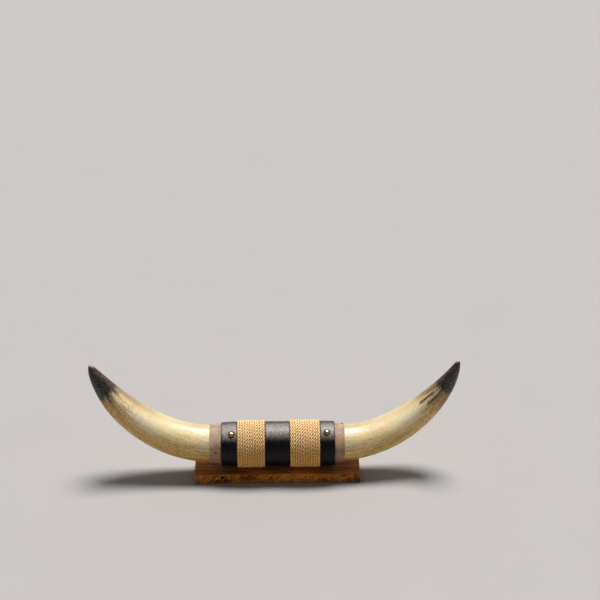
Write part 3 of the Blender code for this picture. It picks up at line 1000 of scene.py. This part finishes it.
def ropeFinish():
    fibre, tone = Finish("ropeFibre"), ropeLook
    along = fibre.attribute("ropePlace")
    crown = fibre.number("ropeCrown")
    place = fibre.objectPlace()
    hairs = fibre.grain(fibre.stretch(along, (260, 4200, 4200)), detail=3, rough=0.6)
    clumps = fibre.grain(fibre.stretch(along, (420, 900, 900)), detail=3, rough=0.6)
    stains = fibre.grain(place, 120, detail=3, rough=0.6)
    # Darker down in the grooves between strands and turns, partly dirt and partly painted shade;
    # lighter on the crowns
    shadeByHeight = fibre.fade(crown + (hairs - 0.5) * 0.35, 0.46, 0.88)
    color = fibre.tint(shadeByHeight, tone["grooveShade"], tone["crown"])
    color = fibre.tint(fibre.fade(hairs, 0.45, 0.72) * shadeByHeight * 0.6, color, tone["hair"])
    color = fibre.tint(fibre.fade(clumps, 0.52, 0.72) * 0.35, color, tone["clump"])
    color = fibre.tint(fibre.fade(stains, 0.48, 0.70) * 0.28, color, tone["stain"])
    # Painted shade: warmer and darker towards the underside
    lowShade = fibre.fade(fibre.parts(place)[2], axisHeight + 30 * mm, axisHeight - 8 * mm)
    color = fibre.tint(lowShade, color, tone["low"], "MULTIPLY")
    height = hairs * 0.6 + clumps * 0.5
    fibre.set(base_color=color, roughness=0.82, normal=fibre.bump(height, 0.16 * mm, 0.9))
    return fibre.block


ropeMaterial = ropeFinish()
for name, rope in ropes.items():
    makeRope(name, rope, ropeMaterial)


# Tacks, nails and screws: turned shapes, from the point up to the crown

pins = {
    "tack": {"head": 4.3 * mm, "height": 2.8 * mm, "shank": 1.0 * mm, "length": 12 * mm,
             "domeSteps": 9, "sides": 48},
    "nail": {"head": 1.5 * mm, "height": 0.6 * mm, "shank": 0.7 * mm, "length": 9 * mm,
             "domeSteps": 4, "sides": 24},
    "rim": 0.2,  # the straight part of a head's height
    "tackSeat": 37.7 * mm,  # the head's underside, from the roller's axis
    "nailStand": 0.6 * mm,  # the head's underside, above the collar
    "dents": 0.10 * mm,
    "brass": (paint(214, 180, 124), paint(104, 74, 42), 0.26),  # bright, tarnished, roughness
    "iron": (paint(70, 62, 56), paint(40, 32, 26), 0.5),
    "steel": (paint(176, 172, 166), paint(112, 104, 96), 0.34),
}
nails = {
    "leftCollarNail": {"node": "left_collar_nail", "collar": "leftCollar", "x": -102.6 * mm,
                       "angle": 0.0},
    "rightCollarNail": {"node": "right_collar_nail", "collar": "rightCollar", "x": 107.0 * mm,
                        "angle": radians(100)},
}
screws = {
    "leftBaseScrew": {"node": "left_base_screw"},
    "rightBaseScrew": {"node": "right_base_screw"},
}
screwLook = {
    "shank": 2.0 * mm,
    "head": 4.0 * mm,
    "headHeight": 2.6 * mm,
    "headRound": 0.25 * mm,
    "point": 4 * mm,
    "slotWidth": 1.0 * mm,
    "slotDepth": 1.1 * mm,
    "sides": 40,
}


def turnedPiece(profile, sides):  # rings of (radius, height) from first to last, closed at both ends
    radius, height = profile[0]
    deselectAll()
    bpy.ops.mesh.primitive_circle_add(vertices=sides, radius=radius, fill_type="NGON",
                                      location=(0, 0, height))
    piece = bpy.context.object
    bpy.ops.object.mode_set(mode="EDIT")
    for nextRadius, nextHeight in profile[1:]:
        bpy.ops.mesh.extrude_region_move(
            TRANSFORM_OT_translate={"value": (0, 0, nextHeight - height)})
        size = nextRadius / radius
        bpy.ops.transform.resize(value=(size, size, 1), center_override=(0, 0, nextHeight))
        radius, height = nextRadius, nextHeight
    faceOutward()
    applyTransform()
    return piece


def turnPin(kind):  # a domed head on a pointed shank, its underside at the origin
    pin, rim = pins[kind], pins["rim"]
    head, height, shank, length = pin["head"], pin["height"], pin["shank"], pin["length"]
    profile = [(0.1 * shank, -length), (shank, 2 * shank - length), (shank, -0.01 * mm),
               (0.86 * head, 0), (head, 0.25 * rim * height)]
    for i in range(pin["domeSteps"]):
        angle = pi / 2 * i / pin["domeSteps"]
        profile.append((head * cos(angle), height * (rim + (1 - rim) * sin(angle))))
    profile.append((0.04 * head, height))
    return turnedPiece(profile, pin["sides"])


def radialPlace(x, heightAngle, radius, height):
    turn = Matrix.Rotation(pi / 2 - heightAngle, 4, "X")
    outward = turn @ Vector((0, 0, 1))
    return Matrix.Translation(Vector((x, 0, height)) + outward * radius) @ turn


def metalFinish(name, bright, tarnished, rough):
    metal = Finish(name)
    place = metal.objectPlace()
    spots = metal.grain(place, 700, detail=4, rough=0.6)
    scratches = metal.grain(metal.stretch(place, (300, 2600, 900)), detail=3)
    tarnish = metal.fade(spots, 0.45, 0.68)
    metal.set(base_color=metal.tint(tarnish * 0.7, bright, tarnished), metallic=1.0,
              roughness=tarnish * 0.25 + rough,
              normal=metal.bump(spots * 0.5 + scratches * 0.5, 0.05 * mm, 0.6))
    return metal.block


def makePins():
    brass = metalFinish("tackBrass", *pins["brass"])
    iron = metalFinish("nailIron", *pins["iron"])
    for name, tack in tacks.items():
        piece = turnPin("tack")
        for vertex in piece.data.vertices:  # hammered: small dents in the dome
            if vertex.co.z > 0.3 * mm:
                vertex.co.z -= pins["dents"] * (1 + ripple(vertex.co, 420, tack["x"] * 900))
        piece.matrix_world = radialPlace(tack["x"], tack["angle"], pins["tackSeat"], axisHeight)
        finishPiece(piece, name, brass, 50, tack["node"])
    print("tacks made")
    for name, nail in nails.items():
        collar = collars[nail["collar"]]
        seat = horns[collar["horn"]]["butt"] + collar["thickness"] + pins["nailStand"]
        piece = turnPin("nail")
        piece.matrix_world = radialPlace(nail["x"], nail["angle"], seat, axisHeight + hornLook["rise"])
        finishPiece(piece, name, iron, 50, nail["node"])


def makeScrews():
    steel = metalFinish("screwSteel", *pins["steel"])
    look = screwLook
    head, shank = look["head"], look["shank"]
    for name, screw in screws.items():
        low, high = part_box(screw["node"])
        x = (low.x + high.x) / 2
        profile = [(head - look["headRound"], low.z), (head, low.z + 0.2 * mm),
                   (head, low.z + 0.45 * mm), (shank, low.z + look["headHeight"]),
                   (shank, high.z - look["point"]), (0.08 * shank, high.z)]
        piece = turnedPiece(profile, look["sides"])
        bpy.ops.mesh.primitive_cube_add(size=1, location=(0, 0, low.z))
        slot = bpy.context.object
        slot.scale = (3 * head, look["slotWidth"], 2 * look["slotDepth"])
        applyTransform()
        cutAway(piece, slot)
        piece.matrix_world = Matrix.Translation((x, 0, 0)) @ Matrix.Rotation(0.6 + x * 9, 4, "Z")
        finishPiece(piece, name, steel, 30, screw["node"])


makePins()
makeScrews()


# The board

boardLook = {
    "cuts": (100, 26, 8),
    "edgeRound": 0.9 * mm,
    "edgeReach": 2.5 * mm,  # how far from an edge its wear goes
    "holes": ((-92.5 * mm, 10.6 * mm, 2.1 * mm), (92.6 * mm, 13.2 * mm, 0.9 * mm),
              (95.6 * mm, 8.4 * mm, 1.1 * mm)),  # a nail hole and two cracks: x, z, radius
    "holeDepth": 5 * mm,
    "screwRecess": 4.35 * mm,
    "recessDepth": 3.7 * mm,
    "chips": ((-107 * mm, 0.0, 3.2 * mm, 1.2 * mm), (130 * mm, 0.0, 6 * mm, 1.5 * mm),
              (60 * mm, 17 * mm, 2.4 * mm, 0.5 * mm), (-30 * mm, 17 * mm, 3.0 * mm, 0.4 * mm)),
    "wear": 0.35 * mm,
    "waves": 0.05 * mm,
    "sawStep": 3.9 * mm,
    "sawTurn": radians(-42),
    "sawDepth": (0.08, 0.30),  # how plain the saw marks are, from patch to patch
    "topFade": (1.6 * mm, 0.5 * mm),  # how far below the top its colour starts and is full
    "holeFade": (7 * mm, 6 * mm),  # how deep the painted shade in the holes goes
    # The top's colours are partly painted light: lifted to make up for the roller's shade on the top
    "top": paint(192, 118, 46),
    "paleTop": paint(222, 146, 68),
    "topFibre": paint(66, 33, 11),
    "side": paint(124, 60, 14),
    "paleSide": paint(200, 120, 38),
    "sideFibre": paint(66, 28, 6),
    "sawRidge": paint(244, 158, 52),
    "sawGroove": paint(56, 22, 5),
    "pore": paint(28, 14, 6),
    "holeShade": paint(9, 5, 3),
}


def drill(board, location, radius, depth, rotation):  # cuts a round hole
    bpy.ops.mesh.primitive_cylinder_add(vertices=20, radius=radius, depth=depth, location=location,
                                        rotation=rotation)
    drillBit = bpy.context.object
    for vertex in drillBit.data.vertices:
        vertex.co *= 1 + 0.10 * ripple(vertex.co, 900, location[0] * 50)
    cutAway(board, drillBit)


def shapeBoard(board, low, high):
    look = boardLook
    middle = (low + high) / 2
    for vertex in board.data.vertices:
        spot = vertex.co.copy()
        toEdge = sorted((abs(spot.x - low.x), abs(spot.x - high.x), abs(spot.y - low.y),
                         abs(spot.y - high.y), abs(spot.z - high.z), abs(spot.z - low.z)))
        near = 1 - ease(toEdge[1], 0, look["edgeReach"])  # close to two faces at once: an edge
        depth = look["wear"] * near * max(0.0, 0.45 + ripple(spot, 95, 3.0))
        depth += look["waves"] * (1 + ripple(spot, 45, 8.0))
        for x, z, reach, amount in look["chips"]:
            distance = Vector((spot.x - x, spot.y - low.y, spot.z - z)).length
            depth += amount * near * (1 - ease(distance, 0.4 * reach, reach))
        inside = toEdge[0] > 1e-6 and near == 0
        flatUnderside = abs(spot.z - low.z) < 1e-6 and near < 0.2
        if not inside and not flatUnderside:
            inward = (middle - spot).normalized()
            inward.x *= 3.0
            vertex.co += inward.normalized() * depth


def boardFinish(low, high):
    wood, tone = Finish("boardWood"), boardLook
    place = wood.objectPlace()
    x, y, z = wood.parts(place)
    fibres = wood.grain(wood.stretch(place, (22, 520, 520)), detail=5, rough=0.65)
    bands = wood.grain(wood.stretch(place, (7, 85, 85), shift=(0.3, 0.1, 0.7)), detail=3, distort=0.8)
    pores = wood.grain(wood.stretch(place, (90, 2400, 2400)), detail=2)
    blotches = wood.grain(place, 28, detail=4, rough=0.6)
    turned = wood.stretch(place, (1, 1, 1), turn=(0, boardLook["sawTurn"], 0))
    patchy = wood.grain(wood.stretch(turned, (500, 500, 120)), detail=3, rough=0.6)
    across = wood.parts(turned)[0] * (2 * pi / boardLook["sawStep"]) + patchy * 7 + bands * 7
    plain = wood.fade(blotches, 0.40, 0.60, *boardLook["sawDepth"])
    saw = wood.sine(across) * plain + patchy + (blotches - 0.5) * 0.3
    top = wood.tint(wood.fade(bands, 0.35, 0.65), tone["top"], tone["paleTop"])
    top = wood.tint(wood.fade(fibres, 0.46, 0.62) * 0.65, top, tone["topFibre"])
    side = wood.tint(wood.fade(bands + (blotches - 0.5) * 0.5, 0.36, 0.62), tone["side"],
                     tone["paleSide"])
    side = wood.tint(wood.fade(fibres, 0.45, 0.70) * 0.55, side, tone["sideFibre"])
    side = wood.tint(wood.fade(saw, 0.54, 0.68) * 0.85, side, tone["sawRidge"])
    side = wood.tint(wood.fade(saw, 0.46, 0.32) * 0.75, side, tone["sawGroove"])
    onTop = wood.fade(z, *(high.z - depth for depth in boardLook["topFade"]))
    color = wood.tint(onTop, side, top)
    color = wood.tint(wood.fade(pores, 0.60, 0.72) * 0.6, color, tone["pore"])
    nearFront = wood.fade(y, *(low.y + depth for depth in boardLook["holeFade"]))
    # Painted shade inside the nail hole and the cracks
    for holeX, holeZ, radius in boardLook["holes"]:
        away = wood.distance(x - holeX, z - holeZ)
        inside = wood.fade(away, 1.5 * radius, 0.9 * radius) * nearFront
        color = wood.tint(inside, color, tone["holeShade"])
    height = fibres * 0.5 + pores * 0.3 + saw * 0.25
    wood.set(base_color=color, roughness=wood.fade(blotches, 0.35, 0.65, 0.42, 0.60),
             normal=wood.bump(height, 0.18 * mm, 0.7))
    wood.shader.inputs["Specular IOR Level"].default_value = 0.10
    return wood.block


def makeBoard():
    look = boardLook
    low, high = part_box("base_board")
    deselectAll()
    bpy.ops.mesh.primitive_cube_add(size=1, location=(low + high) / 2)
    board = bpy.context.object
    board.scale = high - low
    applyTransform()
    bpy.ops.object.mode_set(mode="EDIT")
    for axis, cuts in enumerate(look["cuts"]):
        pick("edges", lambda edge: abs(edge.verts[0].co[axis] - edge.verts[1].co[axis]) > 1e-6)
        bpy.ops.mesh.subdivide(number_cuts=cuts)
    bpy.ops.object.mode_set(mode="OBJECT")
    applyModifier(board, "BEVEL", width=look["edgeRound"], segments=3, limit_method="ANGLE",
                  angle_limit=radians(50))
    shapeBoard(board, low, high)
    for x, z, radius in look["holes"]:
        drill(board, (x, low.y, z), radius, 2 * look["holeDepth"], (pi / 2, 0, 0))
    for screw in screws.values():
        screwLow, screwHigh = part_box(screw["node"])
        drill(board, ((screwLow.x + screwHigh.x) / 2, 0, 0), look["screwRecess"],
              2 * look["recessDepth"], (0, 0, 0))
    finishPiece(board, "woodenBoard", boardFinish(low, high), 35, "base_board")


makeBoard()


# The roller's own wood, which the straps cover apart from their seams

rollerTones = {
    "light": paint(176, 134, 88),
    "dark": paint(150, 106, 64),
    "fibre": paint(118, 78, 44),
}


def rollerFinish():
    wood, tone = Finish("rollerWood"), rollerTones
    place = wood.objectPlace()
    fibres = wood.grain(wood.stretch(place, (18, 420, 420)), detail=4, rough=0.6)
    rings = wood.grain(wood.stretch(place, (6, 70, 70)), detail=3, distort=0.6)
    color = wood.tint(wood.fade(rings, 0.4, 0.6), tone["light"], tone["dark"])
    color = wood.tint(wood.fade(fibres, 0.45, 0.7) * 0.5, color, tone["fibre"])
    wood.set(base_color=color, roughness=0.7, normal=wood.bump(fibres, 0.15 * mm, 0.6))
    return wood.block


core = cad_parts["roller_core"]
core.data.materials.clear()
core.data.materials.append(rollerFinish())
print("roller's wood set")
